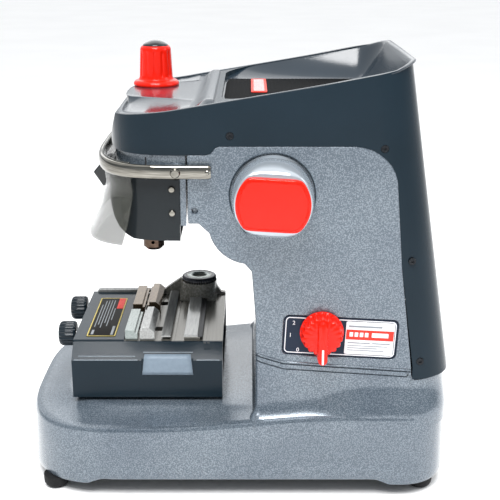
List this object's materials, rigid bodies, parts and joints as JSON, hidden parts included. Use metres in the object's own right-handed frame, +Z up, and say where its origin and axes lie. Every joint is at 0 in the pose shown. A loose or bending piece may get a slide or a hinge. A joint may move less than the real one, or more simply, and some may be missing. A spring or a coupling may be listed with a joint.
{
  "type": "key duplicating machine",
  "caption": "Bench key duplicating machine: sliding cutter and tracer head, cross table with screw vices, tilting clear guard, feed handle, mode selector and tool tray.",
  "frame": {"origin": "centre of the four bench bolts, on the plane the feet stand on", "axes": "+Z up, +X towards the back of the machine, the feed handle on the -Y side"},
  "size_m": [0.3975, 0.273, 0.402],
  "materials": {
    "silver_paint": "silver hammertone paint with fine dark speckle",
    "silver_gloss": "smooth silver paint",
    "slate_plastic": "satin moulded plastic",
    "panel_slate": "satin printed panel",
    "shroud_plastic": "fine textured plastic",
    "knob_plastic": "satin moulded plastic with flutes",
    "black_plastic": "moulded black plastic",
    "red_plastic": "semi-gloss red plastic",
    "red_print": "printed film",
    "black_print": "printed film with thin lines",
    "panel_print": "printed film with a red band",
    "foot_rubber": "moulded rubber",
    "mat_rubber": "ribbed rubber",
    "belt_rubber": "toothed belt",
    "black_screw": "blackened steel",
    "bright_steel": "ground steel",
    "plated_steel": "zinc plated sheet",
    "dark_steel": "hardened steel, brown oxide",
    "jaw_steel": "ground tool steel",
    "socket_steel": "knurled steel",
    "machined_alloy": "machined aluminium",
    "table_alloy": "milled aluminium",
    "bronze": "sintered bronze",
    "chrome": "polished chrome",
    "clear_guard": "smoky clear polycarbonate",
    "lamp_lens": "clear lens"
  },
  "bodies": {
    "frame": {"base_casting": "silver_paint", "bottom_plate": "black_plastic", "foot_front_near": "foot_rubber", "foot_front_far": "foot_rubber", "foot_back_near": "foot_rubber", "foot_back_far": "foot_rubber", "column_casting": "silver_paint", "top_cover": "slate_plastic", "tray_mat": "mat_rubber", "tray_strip": "red_print", "cover_screws": "black_screw", "guide_rod_near": "bright_steel", "guide_rod_far": "bright_steel", "rod_bridge": "bright_steel", "knob_bush": "bright_steel", "selector_panel": "panel_slate", "panel_label": "panel_print", "selector_switch": "black_plastic", "power_inlet": "black_plastic", "power_supply": "plated_steel", "saddle_rail_front": "bright_steel", "saddle_rail_back": "bright_steel"},
    "head": {"head_casting": "silver_paint", "head_shroud": "shroud_plastic", "shroud_screws": "chrome", "head_slide": "machined_alloy", "feed_rack": "bright_steel", "cutter_bearing_low": "bright_steel", "cutter_bearing_top": "bright_steel", "tracer_bush": "bronze", "motor_can": "plated_steel", "drive_belt": "belt_rubber", "work_lamp": "lamp_lens", "guard_pivots": "chrome"},
    "cutter": {"cutter_spindle": "dark_steel", "cutter_pulley": "machined_alloy"},
    "motor_rotor": {"motor_pulley": "machined_alloy"},
    "tracer": {"tracer_quill": "dark_steel"},
    "depth_dial": {"depth_knob": "red_plastic", "depth_cap": "black_plastic"},
    "handle": {"handle_hub": "silver_gloss", "handle_cap": "red_plastic", "handle_shaft": "bright_steel"},
    "guard": {"guard_rail": "chrome", "guard_shield": "clear_guard", "guard_tab": "black_plastic"},
    "saddle_body": {"saddle": "machined_alloy"},
    "table": {"table_plate": "table_alloy", "table_housing": "slate_plastic", "table_label": "black_print", "fixed_jaw_near": "jaw_steel", "fixed_jaw_far": "jaw_steel", "lever_socket": "socket_steel"},
    "jaw_near": {"moving_jaw_near": "jaw_steel"},
    "jaw_far": {"moving_jaw_far": "jaw_steel"},
    "clamp_near": {"clamp_screw_near": "bright_steel", "clamp_knob_near": "knob_plastic"},
    "clamp_far": {"clamp_screw_far": "bright_steel", "clamp_knob_far": "knob_plastic"},
    "selector": {"selector_knob": "red_plastic"}
  },
  "joints": [
    {"name": "head_feed", "type": "slide", "parent": "frame", "child": "head", "axis": [0, 0, 1], "range_m": [-0.045, 0]},
    {"name": "feed_turn", "type": "hinge", "parent": "frame", "child": "handle", "pos_m": [0.0307, -0.11, 0.2855], "axis": [0, 1, 0], "range_deg": [-172, 0]},
    {"name": "cutter_spin", "type": "hinge", "parent": "head", "child": "cutter", "pos_m": [-0.0795, -0.035, 0.28], "axis": [0, 0, 1], "continuous": true},
    {"name": "motor_spin", "type": "hinge", "parent": "head", "child": "motor_rotor", "pos_m": [-0.07, 0, 0.32], "axis": [0, 0, 1], "continuous": true},
    {"name": "tracer_float", "type": "slide", "parent": "head", "child": "tracer", "axis": [0, 0, 1], "range_m": [0, 0.004]},
    {"name": "depth_turn", "type": "hinge", "parent": "frame", "child": "depth_dial", "pos_m": [-0.0795, 0.035, 0.36], "axis": [0, 0, 1], "range_deg": [-170, 170]},
    {"name": "guard_tilt", "type": "hinge", "parent": "head", "child": "guard", "pos_m": [-0.0515, 0, 0.3075], "axis": [0, 1, 0], "range_deg": [0, 20]},
    {"name": "saddle_y", "type": "slide", "parent": "frame", "child": "saddle_body", "axis": [0, 1, 0], "range_m": [-0.018, 0.018]},
    {"name": "table_x", "type": "slide", "parent": "saddle_body", "child": "table", "axis": [1, 0, 0], "range_m": [-0.02, 0.02]},
    {"name": "clamp_near_turn", "type": "hinge", "parent": "table", "child": "clamp_near", "pos_m": [-0.166, -0.035, 0.1275], "axis": [1, 0, 0], "range_deg": [0, 1080]},
    {"name": "jaw_near_slide", "type": "slide", "parent": "table", "child": "jaw_near", "axis": [1, 0, 0], "range_m": [0, 0.006]},
    {"name": "clamp_far_turn", "type": "hinge", "parent": "table", "child": "clamp_far", "pos_m": [-0.166, 0.035, 0.1275], "axis": [1, 0, 0], "range_deg": [0, 1080]},
    {"name": "jaw_far_slide", "type": "slide", "parent": "table", "child": "jaw_far", "axis": [1, 0, 0], "range_m": [0, 0.006]},
    {"name": "selector_turn", "type": "hinge", "parent": "frame", "child": "selector", "pos_m": [0.0755, -0.12, 0.1605], "axis": [0, 1, 0], "range_deg": [0, 120]}
  ],
  "couplings": [
    {"joint": "feed_turn", "follows": "head_feed", "rad_per_m": 66.667},
    {"joint": "motor_spin", "follows": "cutter_spin", "ratio": 1.8571},
    {"joint": "clamp_near_turn", "follows": "jaw_near_slide", "rad_per_m": 3141.6},
    {"joint": "clamp_far_turn", "follows": "jaw_far_slide", "rad_per_m": 3141.6}
  ]
}
